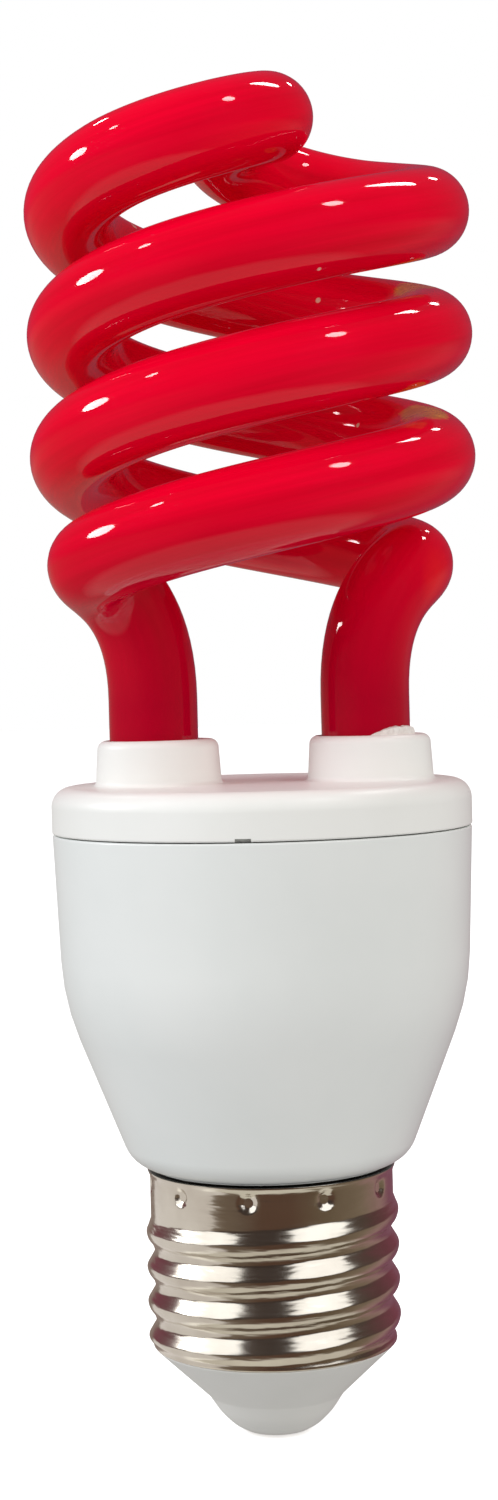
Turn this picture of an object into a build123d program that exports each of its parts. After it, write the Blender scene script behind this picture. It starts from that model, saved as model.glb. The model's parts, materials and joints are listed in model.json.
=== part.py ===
from build123d import *
from math import cos, pi, radians, sin, tan
import os

# Spiral compact fluorescent bulb. Millimetres and degrees.
# Z is the axis of the screw base and points up to the top of the spiral. The origin is the lowest
# point of the centre contact. The two legs of the tube stand on the X axis, and -Y is the front.

# Glass tube
TUBE_R = 4.65
COIL_R = 18.6
PITCH = 25.5
COIL_BASE = 88.8
COIL_START = 34.5
COIL_END = 582.5
STEP_ANGLE = 19
BRIDGE_RISE = 6.45
BRIDGE_STEPS = 6
LEG_X = 11.1
LEG_FOOT = 58.0
LEG_TOP = 76.7
BEND_AT_LEG = 13.8
BEND_AT_COIL = 7.9
BEND_STEPS = 5

# Tube holder, the cover that carries the tube
SEAM = 62.8
HOLDER_R = 21.95
HOLDER_TOP = 67.7
HOLDER_EDGE = 2.0
COVER_WALL = 1.6
COLLAR_TOP = 72.4
COLLAR_FOOT_R = 6.6
COLLAR_TOP_R = 6.0
COLLAR_EDGE = 0.8
SOCKET_R = 5.1
SKIRT_R = 20.2
SKIRT_FOOT = 59.3
SKIRT_WALL = 1.2
LUG_OUT = 0.5
LUG_WIDTH = 6.0
LUG_PLAY = 0.1
LUG_ANGLES = (45, 135, 225, 315)
SLOT_ANGLE = -95
SLOT_WIDTH = 1.6
SLOT_HEIGHT = 0.45
SLOT_DEPTH = 1.2

# Ballast housing
RIM_R = 21.9
SHOULDER = (21.18, 45.45)
SHOULDER_RADIUS = 25.0
HEEL = (14.3, 28.0)
HEEL_RADIUS = 3.6
HOUSING_WALL = 1.5
NECK_R = 12.35
NECK_BORE = 10.8
NECK_FOOT = 20.5
POCKET_DEPTH = 0.7
POCKET_HEIGHT = 1.4
POCKET_FOOT = 60.2
LEDGE_ANGLES = (30, 150, 270)
LEDGE_WIDTH = 2.4
LEDGE_HEIGHT = 4.0
LEDGE_REACH = 3.2

# Screw shell and the insulator under it
SHELL_TOP = 27.9
SHELL_SKIRT_R = 12.7
THREAD_TOP = 20.6
THREAD_PITCH = 3.63
THREAD_CREST_R = 13.2
THREAD_ROOT_R = 12.15
FIRST_CREST = 17.4
CREST_COUNT = 3
CREST_FLAT = 0.9
SHELL_BORE = 11.8
SHELL_EDGE = (12.7, 9.3)
CRIMP_COUNT = 10
CRIMP_Z = 26.0
CRIMP_R = 1.0
CRIMP_DEPTH = 0.28
CRIMP_TAPER = 60
CRIMP_ANGLE = -137
NOSE_TOP = (7.15, 4.05)
NOSE_SIDE = (6.0, 2.3)
NOSE_BULGE = (4.6, 0.9)
CONTACT_R = 3.5
CONTACT_THICK = 0.3
CONTACT_FLAT_R = 2.5
CONTACT_BORE = 1.0
EYELET_R = 1.5
EYELET_TOP = 3.4
SOLDER_RECESS = 0.1
INSULATOR_TOP = 10.3
HUB_R = 4.0
HUB_TOP = 10.8

# Circuit board and what it carries
BOARD_R = 18.9
BOARD_UNDER = 54.0
BOARD_THICK = 1.6
BOARD_TOP = BOARD_UNDER + BOARD_THICK
LEAD_R = 0.3
PIN = 0.8
WIRE_R = 0.6

# Cement round the legs
CEMENT_FOOT = HOLDER_TOP - COVER_WALL
CEMENT_BELOW_RIM = 0.4

# Choke
CHOKE_X = -7.5
CORE_FOOT = 38.0
CORE_WIDTH = 16.0
CORE_HEIGHT = 14.0
CORE_DEPTH = 5.0
CORE_MIDDLE = 4.0
CORE_SIDE_LEG = 2.2
BOBBIN_WIDTH = 11.4
BOBBIN_DEPTH = 11.0
BOBBIN_WALL = 0.8

# Drive transformer
RING_PLACE = (6.3, 13.0)
RING_R = 4.0
RING_HOLE_R = 2.0
RING_HEIGHT = 3.2
WINDING_WIDTH = 2.4
WINDING_WALL = 0.4
RING_FOOT = BOARD_UNDER - WINDING_WALL - RING_HEIGHT

# Smoothing capacitor
CAN_X = 3.5
CAN_R = 5.0
CAN_FOOT = 15.0
CAN_HEIGHT = 16.0
CAN_LEAD_Y = 2.5

# Smaller parts under the board: places are (x, y) on it, drops are lengths of bare lead
TWO_LEADS_ALONG_X = ((-2.5, 0), (2.5, 0))
TWO_LEADS_ALONG_Y = ((0, -2.5), (0, 2.5))
THREE_LEADS_ALONG_Y = ((0, -2.5), (0, 0), (0, 2.5))
BOXED_PARTS = (
    ("switching_transistor_a", (8.0, 4.6), (3.2, 8.0, 11.0), 3.0, THREE_LEADS_ALONG_Y),
    ("switching_transistor_b", (8.0, -4.6), (3.2, 8.0, 11.0), 3.0, THREE_LEADS_ALONG_Y),
    ("resonant_capacitor", (13.5, 0.0), (5.0, 11.0, 9.0), 0.5, TWO_LEADS_ALONG_Y),
    ("blocking_capacitor", (-3.2, 12.5), (9.0, 4.5, 8.5), 0.5, TWO_LEADS_ALONG_X),
    ("starting_thermistor", (-12.0, 8.5), (6.0, 2.2, 7.0), 2.0, TWO_LEADS_ALONG_X),
)
ROUND_PARTS = (
    ("filter_inductor", ((5.5, -13.0),), 4.0, 8.0, 0.6),
    ("fuse_resistor", ((-4.0, -9.0),), 1.6, 9.0, 1.5),
    ("rectifier_diodes", ((-7.5, -9.5), (-11.0, -9.5), (-7.5, -13.0), (-11.0, -13.0)), 1.35, 5.2, 2.0),
    ("trigger_diode", ((3.2, 6.4),), 0.9, 4.0, 2.0),
    ("base_resistors", ((3.5, -6.3), (13.5, -8.8), (13.5, 8.8)), 1.2, 6.5, 1.5),
)

# Wires between the tube's feet and the board
LEG_WIRE_Y = 1.5
POST_X = 6.0
POST_Y = 4.0

# Mains wires, as the points of their routes
LIVE_BEND_Z = 11.5
LIVE_Y = 7.9
LIVE_RISE = 2.0
NEUTRAL_Y = -9.0
NEUTRAL_TURN_Z = 19.2
NEUTRAL_END_Y = -SHELL_BORE + 0.02

os.makedirs("parts", exist_ok=True)


def save(piece, name):
    piece.part.label = name
    export_step(piece.part, f"parts/{name}.step")


def round_corner(before, corner, after, radius, steps):
    """The corner of an outline rounded to the radius, as the ends of a few short chords."""
    middle = Vector(*corner)
    inwards = (Vector(*before) - middle).normalized()
    outwards = (Vector(*after) - middle).normalized()
    half_turn = radians(180 - inwards.get_angle(outwards)) / 2
    reach = radius * tan(half_turn)
    centre = middle + (inwards + outwards).normalized() * (radius / cos(half_turn))
    first = middle + inwards * reach - centre
    last = middle + outwards * reach - centre
    points = []
    for step in range(steps + 1):
        share = step / steps
        part_way = sin(2 * half_turn * (1 - share)) * first + sin(2 * half_turn * share) * last
        point = centre + part_way.normalized() * radius
        points.append((point.X, point.Y))
    return points


# Spiral tube: one closed glass tube. A leg rises from the holder, bends outwards into the coil,
# climbs one and a half turns and crosses the axis in an S at the top, where the same path, turned
# half round, leads back down to the other leg. Its route is short straight runs with mitred joints.
def on_coil(angle):
    return Vector(
        COIL_R * cos(radians(angle)),
        COIL_R * sin(radians(angle)),
        COIL_BASE + PITCH * angle / 360,
    )


def bend_route():
    coil_slope = PITCH / (2 * pi * COIL_R)
    start = Vector(LEG_X, 0, LEG_TOP)
    end = on_coil(COIL_START)
    turn = radians(COIL_START)
    backwards = Vector(sin(turn), -cos(turn), -coil_slope).normalized()
    near_leg = start + Vector(0, 0, BEND_AT_LEG)
    near_coil = end + backwards * BEND_AT_COIL
    route = []
    for step in range(BEND_STEPS):
        t = step / BEND_STEPS
        s = 1 - t
        route.append(
            start * s**3 + near_leg * 3 * s * s * t + near_coil * 3 * s * t * t + end * t**3
        )
    return route


def coil_route():
    steps = round((COIL_END - COIL_START) / STEP_ANGLE)
    return [on_coil(COIL_START + (COIL_END - COIL_START) * i / steps) for i in range(steps + 1)]


def bridge_route():
    slope = PITCH / (2 * pi * COIL_R)
    length = pi * COIL_R / 2
    square = (3 * BRIDGE_RISE - 2 * slope * length) / length**2
    cube = (slope * length - 2 * BRIDGE_RISE) / length**3
    height = COIL_BASE + PITCH * COIL_END / 360
    end = radians(COIL_END)
    route = []
    for step in range(1, BRIDGE_STEPS):
        along = length * step / BRIDGE_STEPS
        turn = end + pi * step / BRIDGE_STEPS
        route.append(
            Vector(
                COIL_R / 2 * (cos(end) + cos(turn)),
                COIL_R / 2 * (sin(end) + sin(turn)),
                height + slope * along + square * along**2 + cube * along**3,
            )
        )
    return route


first_strand = [Vector(LEG_X, 0, LEG_FOOT)] + bend_route() + coil_route() + bridge_route()
second_strand = [Vector(-point.X, -point.Y, point.Z) for point in reversed(first_strand)]

with BuildPart() as spiral_tube:
    with BuildLine() as tube_route:
        Polyline(*first_strand, *second_strand)
    with BuildSketch(Plane.XY.offset(LEG_FOOT).move(Location((LEG_X, 0, 0)))):
        Circle(TUBE_R)
    sweep(path=tube_route.line, transition=Transition.RIGHT)
save(spiral_tube, "spiral_tube")


# Tube holder: a moulded cover with two collars round the legs, a skirt inside the housing's rim,
# four snap lugs on the skirt and a slot in the seam for prising it off.
with BuildPart() as tube_holder:
    with BuildSketch(Plane.XZ):
        with BuildLine():
            Polyline(
                (0, HOLDER_TOP),
                *round_corner(
                    (0, HOLDER_TOP), (HOLDER_R, HOLDER_TOP), (HOLDER_R, SEAM), HOLDER_EDGE, 3
                ),
                (HOLDER_R, SEAM),
                (SKIRT_R, SEAM),
                (SKIRT_R, SKIRT_FOOT),
                (SKIRT_R - SKIRT_WALL, SKIRT_FOOT),
                (SKIRT_R - SKIRT_WALL, HOLDER_TOP - COVER_WALL),
                (0, HOLDER_TOP - COVER_WALL),
                close=True,
            )
        make_face()
    revolve(axis=Axis.Z)
    for side in (LEG_X, -LEG_X):
        collar_axis = Axis((side, 0, 0), (0, 0, 1))
        with BuildSketch(Plane((side, 0, 0), x_dir=(1, 0, 0), z_dir=(0, -1, 0))):
            with BuildLine():
                Polyline(
                    (0, HOLDER_TOP - COVER_WALL / 2),
                    (COLLAR_FOOT_R, HOLDER_TOP - COVER_WALL / 2),
                    (COLLAR_FOOT_R, HOLDER_TOP),
                    *round_corner(
                        (COLLAR_FOOT_R, HOLDER_TOP),
                        (COLLAR_TOP_R, COLLAR_TOP),
                        (0, COLLAR_TOP),
                        COLLAR_EDGE,
                        2,
                    ),
                    (0, COLLAR_TOP),
                    close=True,
                )
            make_face()
        revolve(axis=collar_axis)
    with BuildSketch(Plane.XY.offset(SKIRT_FOOT)):
        with Locations((LEG_X, 0), (-LEG_X, 0)):
            Circle(SOCKET_R)
    extrude(amount=COLLAR_TOP - SKIRT_FOOT, mode=Mode.SUBTRACT)
    for angle in LUG_ANGLES:
        with BuildSketch(Plane.XY.offset(POCKET_FOOT + LUG_PLAY).rotated((0, 0, angle))):
            with Locations((SKIRT_R, 0)):
                Rectangle(2 * LUG_OUT, LUG_WIDTH)
        extrude(amount=POCKET_HEIGHT - 2 * LUG_PLAY)
    with BuildSketch(Plane.XY.offset(SEAM).rotated((0, 0, SLOT_ANGLE))):
        with Locations((HOLDER_R, 0)):
            Rectangle(2 * SLOT_DEPTH, SLOT_WIDTH)
    extrude(amount=SLOT_HEIGHT, mode=Mode.SUBTRACT)
save(tube_holder, "tube_holder")


# Ballast housing: a moulded cup, round at the shoulder and the heel, with a neck for the screw
# shell, a pocket for each snap lug and three ledges for the circuit board.
rim = (RIM_R, SEAM)
neck_corner = (NECK_R, HEEL[1])
bore_corner = (HEEL[0] - HOUSING_WALL, HEEL[1] + HOUSING_WALL)
wall_corner = (RIM_R - HOUSING_WALL, SHOULDER[1] + HOUSING_WALL / 2)

with BuildPart() as ballast_housing:
    with BuildSketch(Plane.XZ):
        with BuildLine():
            Polyline(
                rim,
                *round_corner(rim, SHOULDER, HEEL, SHOULDER_RADIUS, 2),
                *round_corner(SHOULDER, HEEL, neck_corner, HEEL_RADIUS, 3),
                neck_corner,
                (NECK_R, NECK_FOOT),
                (NECK_BORE, NECK_FOOT),
                (NECK_BORE, HEEL[1] + HOUSING_WALL),
                bore_corner,
                wall_corner,
                (RIM_R - HOUSING_WALL, SEAM),
                close=True,
            )
        make_face()
    revolve(axis=Axis.Z)
    for angle in LUG_ANGLES:
        with BuildSketch(Plane.XY.offset(POCKET_FOOT).rotated((0, 0, angle))):
            with Locations((RIM_R - HOUSING_WALL, 0)):
                Rectangle(2 * POCKET_DEPTH, LUG_WIDTH + 2 * LUG_PLAY)
        extrude(amount=POCKET_HEIGHT, mode=Mode.SUBTRACT)
    for angle in LEDGE_ANGLES:
        with BuildSketch(Plane.XY.offset(BOARD_UNDER - LEDGE_HEIGHT).rotated((0, 0, angle))):
            with Locations((RIM_R - HOUSING_WALL / 2 - LEDGE_REACH / 2, 0)):
                Rectangle(LEDGE_REACH, LEDGE_WIDTH)
        extrude(amount=LEDGE_HEIGHT)
save(ballast_housing, "ballast_housing")


# Screw shell: plated metal with a plain skirt crimped to the neck, and a thread down to its foot.
# The thread's turns are rings here, and its bore is plain.
def thread_outline():
    points = []
    for turn in range(CREST_COUNT):
        crest = FIRST_CREST - turn * THREAD_PITCH
        points += [
            (THREAD_ROOT_R, crest + THREAD_PITCH / 2),
            (THREAD_CREST_R, crest + CREST_FLAT / 2),
            (THREAD_CREST_R, crest - CREST_FLAT / 2),
        ]
    return points


with BuildPart() as screw_shell:
    with BuildSketch(Plane.XZ):
        with BuildLine():
            Polyline(
                (SHELL_SKIRT_R, SHELL_TOP),
                (SHELL_SKIRT_R, THREAD_TOP),
                *thread_outline(),
                SHELL_EDGE,
                (SHELL_BORE, SHELL_EDGE[1]),
                (SHELL_BORE, NECK_FOOT),
                (NECK_R, NECK_FOOT),
                (NECK_R, SHELL_TOP),
                close=True,
            )
        make_face()
    revolve(axis=Axis.Z)
    for number in range(CRIMP_COUNT):
        turn = radians(CRIMP_ANGLE + 360 / CRIMP_COUNT * number)
        outwards = Vector(cos(turn), sin(turn), 0)
        crimp_middle = outwards * SHELL_SKIRT_R + Vector(0, 0, CRIMP_Z)
        with BuildSketch(Plane(origin=crimp_middle, z_dir=outwards * -1)):
            Circle(CRIMP_R)
        extrude(amount=CRIMP_DEPTH, taper=CRIMP_TAPER, mode=Mode.SUBTRACT)
save(screw_shell, "screw_shell")


# Insulator: a pale moulded cone under the shell, with a plug in the shell's foot, a rounded nose
# and a hub with the hole of the live wire.
with BuildPart() as base_insulator:
    with BuildSketch(Plane.XZ):
        with BuildLine():
            Polyline(
                (CONTACT_R, CONTACT_THICK),
                (EYELET_R, CONTACT_THICK),
                (EYELET_R, HUB_TOP),
                (HUB_R, HUB_TOP),
                (HUB_R, INSULATOR_TOP),
                (SHELL_BORE, INSULATOR_TOP),
                (SHELL_BORE, SHELL_EDGE[1]),
                SHELL_EDGE,
                NOSE_TOP,
                NOSE_SIDE,
                NOSE_BULGE,
                close=True,
            )
        make_face()
    revolve(axis=Axis.Z)
save(base_insulator, "base_insulator")


# Centre contact: a small plated disc that carries on the nose's curve, with a flat ring at its foot
# and an eyelet up the insulator's hole.
with BuildPart() as centre_contact:
    with BuildSketch(Plane.XZ):
        with BuildLine():
            Polyline(
                (CONTACT_BORE, 0),
                (CONTACT_FLAT_R, 0),
                (CONTACT_R, CONTACT_THICK),
                (EYELET_R, CONTACT_THICK),
                (EYELET_R, EYELET_TOP),
                (CONTACT_BORE, EYELET_TOP),
                close=True,
            )
        make_face()
    revolve(axis=Axis.Z)
save(centre_contact, "centre_contact")

with BuildPart() as contact_solder:
    with BuildSketch(Plane.XY.offset(SOLDER_RECESS)):
        Circle(CONTACT_BORE)
    extrude(amount=EYELET_TOP - SOLDER_RECESS)
save(contact_solder, "contact_solder")


# Cement rings: the tube's legs are cemented into the collars, with the cement a little below the
# collars' rims.
def cement_ring(side):
    with BuildPart() as ring:
        with BuildSketch(Plane.XY.offset(CEMENT_FOOT)):
            with Locations((side, 0)):
                Circle(SOCKET_R)
                Circle(TUBE_R, mode=Mode.SUBTRACT)
        extrude(amount=COLLAR_TOP - CEMENT_BELOW_RIM - CEMENT_FOOT)
    return ring


save(cement_ring(-LEG_X), "tube_cement_left")
save(cement_ring(LEG_X), "tube_cement_right")


# Circuit board: a round board on the housing's ledges. Its parts hang under it.
with BuildPart() as circuit_board:
    with BuildSketch(Plane.XY.offset(BOARD_UNDER)):
        Circle(BOARD_R)
    extrude(amount=BOARD_THICK)
save(circuit_board, "circuit_board")


# Choke: two E-shaped ferrite halves on a bobbin with its winding, on four pins under the board.
def choke_half(back, tips):
    """An E-shaped half, from the height of its back to the height of its tips."""
    inwards = 1 if tips > back else -1
    with BuildPart() as half:
        with BuildSketch(Plane((CHOKE_X, CORE_DEPTH / 2, back), x_dir=(1, 0, 0), z_dir=(0, -1, 0))):
            leg_height = abs(tips - back)
            with Locations((0, inwards * leg_height / 2)):
                Rectangle(CORE_WIDTH, leg_height)
            window = CORE_WIDTH / 2 - CORE_SIDE_LEG - CORE_MIDDLE / 2
            window_height = leg_height - CORE_SIDE_LEG
            with Locations(
                (CORE_MIDDLE / 2 + window / 2, inwards * (CORE_SIDE_LEG + window_height / 2)),
                (-CORE_MIDDLE / 2 - window / 2, inwards * (CORE_SIDE_LEG + window_height / 2)),
            ):
                Rectangle(window, window_height, mode=Mode.SUBTRACT)
        extrude(amount=CORE_DEPTH)
    return half


save(choke_half(CORE_FOOT + CORE_HEIGHT, CORE_FOOT + CORE_HEIGHT / 2), "choke_core_upper")
save(choke_half(CORE_FOOT, CORE_FOOT + CORE_HEIGHT / 2), "choke_core_lower")

window_foot = CORE_FOOT + CORE_SIDE_LEG
window_top = CORE_FOOT + CORE_HEIGHT - CORE_SIDE_LEG

with BuildPart() as choke_bobbin:
    with BuildSketch(Plane.XY.offset(window_foot)):
        with Locations((CHOKE_X, 0)):
            Rectangle(BOBBIN_WIDTH, BOBBIN_DEPTH)
    extrude(amount=BOBBIN_WALL)
    with BuildSketch(Plane.XY.offset(window_top - BOBBIN_WALL)):
        with Locations((CHOKE_X, 0)):
            Rectangle(BOBBIN_WIDTH, BOBBIN_DEPTH)
    extrude(amount=BOBBIN_WALL)
    with BuildSketch(Plane.XY.offset(window_foot)):
        with Locations((CHOKE_X, 0)):
            Rectangle(CORE_MIDDLE + 2 * BOBBIN_WALL, CORE_DEPTH + 2 * BOBBIN_WALL)
    extrude(amount=window_top - window_foot)
    with BuildSketch(Plane.XY.offset(window_foot)):
        with Locations((CHOKE_X, 0)):
            Rectangle(CORE_MIDDLE, CORE_DEPTH)
    extrude(amount=window_top - window_foot, mode=Mode.SUBTRACT)
save(choke_bobbin, "choke_bobbin")

with BuildPart() as choke_winding:
    with BuildSketch(Plane.XY.offset(window_foot + BOBBIN_WALL)):
        with Locations((CHOKE_X, 0)):
            Rectangle(BOBBIN_WIDTH - 0.6, BOBBIN_DEPTH - 0.6)
            Rectangle(
                CORE_MIDDLE + 2 * BOBBIN_WALL, CORE_DEPTH + 2 * BOBBIN_WALL, mode=Mode.SUBTRACT
            )
    extrude(amount=window_top - window_foot - 2 * BOBBIN_WALL)
save(choke_winding, "choke_winding")

with BuildPart() as choke_pins:
    with BuildSketch(Plane.XY.offset(window_top)):
        with Locations((CHOKE_X, 0)):
            with GridLocations(BOBBIN_WIDTH - 2, BOBBIN_DEPTH - 1.6, 2, 2):
                Rectangle(PIN, PIN)
    extrude(amount=BOARD_UNDER - window_top)
save(choke_pins, "choke_pins")


# Drive transformer: a small ferrite ring with three short windings, flat against the board.
with BuildPart() as drive_ring:
    with BuildSketch(Plane.XY.offset(RING_FOOT)):
        with Locations(RING_PLACE):
            Circle(RING_R)
            Circle(RING_HOLE_R, mode=Mode.SUBTRACT)
    extrude(amount=RING_HEIGHT)
save(drive_ring, "drive_ring")

with BuildPart() as drive_windings:
    for angle in (0, 120, 240):
        middle = (RING_R + RING_HOLE_R) / 2
        ring_base = Plane((*RING_PLACE, RING_FOOT - WINDING_WALL)).rotated((0, 0, angle))
        with BuildSketch(ring_base):
            with Locations((middle, 0)):
                Rectangle(RING_R - RING_HOLE_R + 2 * WINDING_WALL, WINDING_WIDTH)
        extrude(amount=RING_HEIGHT + 2 * WINDING_WALL)
    with BuildSketch(Plane.XY.offset(RING_FOOT)):
        with Locations(RING_PLACE):
            Circle(RING_R)
            Circle(RING_HOLE_R, mode=Mode.SUBTRACT)
    extrude(amount=RING_HEIGHT, mode=Mode.SUBTRACT)
save(drive_windings, "drive_windings")


# Smoothing capacitor: a can in the neck, on two long leads from the board.
with BuildPart() as smoothing_capacitor:
    with BuildSketch(Plane.XY.offset(CAN_FOOT)):
        with Locations((CAN_X, 0)):
            Circle(CAN_R)
    extrude(amount=CAN_HEIGHT)
save(smoothing_capacitor, "smoothing_capacitor")

with BuildPart() as capacitor_leads:
    with BuildSketch(Plane.XY.offset(CAN_FOOT + CAN_HEIGHT)):
        with Locations((CAN_X, CAN_LEAD_Y), (CAN_X, -CAN_LEAD_Y)):
            Rectangle(2 * LEAD_R, 2 * LEAD_R)
    extrude(amount=BOARD_UNDER - CAN_FOOT - CAN_HEIGHT)
save(capacitor_leads, "capacitor_leads")


# Boxed parts: each is a moulded body with two or three leads up to the board.
def boxed_part(place, size, drop, lead_offsets):
    """A body of the given size whose top is the drop under the board, with its leads."""
    with BuildPart() as body:
        with BuildSketch(Plane.XY.offset(BOARD_UNDER - drop)):
            with Locations(place):
                Rectangle(size[0], size[1])
        extrude(amount=-size[2])
        if drop:
            with BuildSketch(Plane.XY.offset(BOARD_UNDER - drop)):
                with Locations(*[(place[0] + x, place[1] + y) for x, y in lead_offsets]):
                    Rectangle(2 * LEAD_R, 2 * LEAD_R)
            extrude(amount=drop)
    return body


for name, place, size, drop, lead_offsets in BOXED_PARTS:
    save(boxed_part(place, size, drop, lead_offsets), name)


# Round parts: each is a can, a bead or a disc that stands under the board on a short pedestal of
# its own leads.
def round_part(places, radius, height, drop):
    with BuildPart() as bodies:
        with BuildSketch(Plane.XY.offset(BOARD_UNDER - drop)):
            with Locations(*places):
                Circle(radius)
        extrude(amount=-height)
        with BuildSketch(Plane.XY.offset(BOARD_UNDER - drop)):
            with Locations(*places):
                Rectangle(2 * LEAD_R, 2 * LEAD_R)
        extrude(amount=drop)
    return bodies


for name, places, radius, height, drop in ROUND_PARTS:
    save(round_part(places, radius, height, drop), name)


# Wire posts on the board, and the tube's lead wires from the feet of its legs to the posts.
post_places = [(side * POST_X, row * POST_Y) for side in (-1, 1) for row in (-1, 1)]

with BuildPart() as wire_posts:
    with BuildSketch(Plane.XY.offset(BOARD_TOP)):
        with Locations(*post_places):
            Rectangle(PIN, PIN)
    extrude(amount=LEG_FOOT - BOARD_TOP - 2 * LEAD_R)
save(wire_posts, "wire_posts")


def tube_leads(side):
    """Two wires out of a leg's foot, each across the top of its post."""
    with BuildPart() as wires:
        for row in (-1, 1):
            with BuildSketch(Plane.XY.offset(LEG_FOOT - 2 * LEAD_R)):
                with BuildLine():
                    Polyline((side * LEG_X, row * LEG_WIRE_Y), (side * POST_X, row * POST_Y))
                trace(line_width=2 * LEAD_R)
            extrude(amount=2 * LEAD_R)
    return wires


save(tube_leads(-1), "tube_leads_left")
save(tube_leads(1), "tube_leads_right")


# Mains wires: one from the board down through the insulator's hub to the contact, one from the
# board down past the neck's foot to the shell.
def mains_wire(points):
    with BuildPart() as wire:
        with BuildLine() as route:
            Polyline(*points)
        with BuildSketch(Plane(origin=points[0], z_dir=route.line % 0)):
            Circle(WIRE_R)
        sweep(path=route.line, transition=Transition.RIGHT)
    return wire


live_route = (
    (0, LIVE_Y, BOARD_UNDER),
    (0, LIVE_Y, LIVE_BEND_Z + LIVE_RISE),
    (0, 0, LIVE_BEND_Z),
    (0, 0, EYELET_TOP),
)
neutral_route = (
    (0, NEUTRAL_Y, BOARD_UNDER),
    (0, NEUTRAL_Y, NEUTRAL_TURN_Z),
    (0, NEUTRAL_END_Y, NEUTRAL_TURN_Z),
)
save(mains_wire(live_route), "live_wire")
save(mains_wire(neutral_route), "neutral_wire")
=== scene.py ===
import json
import math

import bmesh
import bpy
from mathutils import Matrix, Vector, noise


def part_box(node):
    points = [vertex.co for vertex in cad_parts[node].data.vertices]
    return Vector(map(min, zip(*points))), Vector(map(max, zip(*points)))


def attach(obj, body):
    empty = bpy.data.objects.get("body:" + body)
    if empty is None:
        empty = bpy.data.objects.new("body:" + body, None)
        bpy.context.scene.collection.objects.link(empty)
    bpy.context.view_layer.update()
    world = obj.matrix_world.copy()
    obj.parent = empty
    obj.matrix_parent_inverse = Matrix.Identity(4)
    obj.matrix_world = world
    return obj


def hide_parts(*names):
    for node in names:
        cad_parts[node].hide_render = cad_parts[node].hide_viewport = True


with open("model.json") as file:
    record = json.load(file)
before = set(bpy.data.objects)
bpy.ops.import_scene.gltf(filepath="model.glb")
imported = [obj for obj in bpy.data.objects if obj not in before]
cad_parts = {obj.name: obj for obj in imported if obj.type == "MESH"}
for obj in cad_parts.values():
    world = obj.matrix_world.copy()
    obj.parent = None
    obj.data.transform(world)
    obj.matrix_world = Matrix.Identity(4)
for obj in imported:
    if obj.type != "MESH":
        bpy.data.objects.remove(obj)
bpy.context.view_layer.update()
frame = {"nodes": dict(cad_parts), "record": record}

# The red spiral bulb as it looks: metres, +Z up, -Y towards the camera. Places come from the packed
# solids where they can, and the rest are the sizes below.
MM = 0.001

# Glass tube
TUBE_R = 4.65 * MM
COIL_R = 18.6 * MM
PITCH = 25.5 * MM
COIL_BASE = 88.8 * MM
COIL_START = math.radians(34.5)
COIL_END = math.radians(582.5)
BRIDGE_RISE = 6.45 * MM
LEG_X = 11.1 * MM
LEG_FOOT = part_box("spiral_tube")[0].z
LEG_TOP = 76.7 * MM
BEND_AT_LEG = 13.8 * MM
BEND_AT_COIL = 7.9 * MM
LEG_STEPS = 20
BEND_STEPS = 28
ROUTE_STEP = 0.9 * MM
TUBE_SIDES = 56

# Tube holder
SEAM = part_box("ballast_housing")[1].z
HOLDER_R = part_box("tube_holder")[1].x
COLLAR_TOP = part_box("tube_holder")[1].z
SKIRT_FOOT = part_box("tube_holder")[0].z
HOLDER_TOP = 67.7 * MM
HOLDER_EDGE = 2.0 * MM
COVER_WALL = 1.6 * MM
COLLAR_SHIFT = 0.4 * MM
COLLAR_FOOT_R = 6.6 * MM
COLLAR_TOP_R = 6.3 * MM
COLLAR_EDGE = 0.9 * MM
COLLAR_FILLET = 0.5 * MM
COLLAR_MOUTH = 0.2 * MM
COLLAR_COLUMNS = 96
SOCKET_R = 5.1 * MM
SKIRT_R = 20.2 * MM
SKIRT_WALL = 1.2 * MM
SEAM_GAP = 0.12 * MM
SEAM_EDGE = 0.22 * MM
SLOT_ANGLE = math.radians(-95)
SLOT_WIDTH = 1.6 * MM
SLOT_HEIGHT = 0.45 * MM
SLOT_DEPTH = 1.2 * MM

# Cement in the collars. The bead is where it was heaped over the right collar's rim.
CEMENT_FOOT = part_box("tube_cement_left")[0].z
CEMENT_BELOW_RIM = 0.3 * MM
CEMENT_PLAY = 0.04 * MM
CEMENT_LUMP = 0.12 * MM
CEMENT_GRIT = 0.06 * MM
CEMENT_COLUMNS = 120
BEAD_RISE = 0.75 * MM
BEAD_REACH = 0.45 * MM
BEAD_UNEVEN = 0.12
# Outside this radius the bead leans out over the rim
BEAD_LEANS_FROM = 4.8 * MM
BEAD_ANGLES = (math.radians(-98), math.radians(-56), math.radians(-32), math.radians(-5))
# The top of the cement from the glass outwards: radius, and its share of the rise
CEMENT_TOP = (
    (TUBE_R - CEMENT_PLAY, 0.1), (4.75 * MM, 0.8), (4.9 * MM, 1.0), (5.05 * MM, 0.9), (SOCKET_R, 0.55),
)

# Ballast housing
RIM_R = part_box("ballast_housing")[1].x
NECK_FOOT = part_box("ballast_housing")[0].z
SHOULDER = (21.18 * MM, 45.45 * MM, 25.0 * MM)
HEEL = (14.3 * MM, 28.0 * MM, 3.6 * MM)
HOUSING_WALL = 1.5 * MM
NECK_R = 12.35 * MM
NECK_BORE = 10.8 * MM

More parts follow.
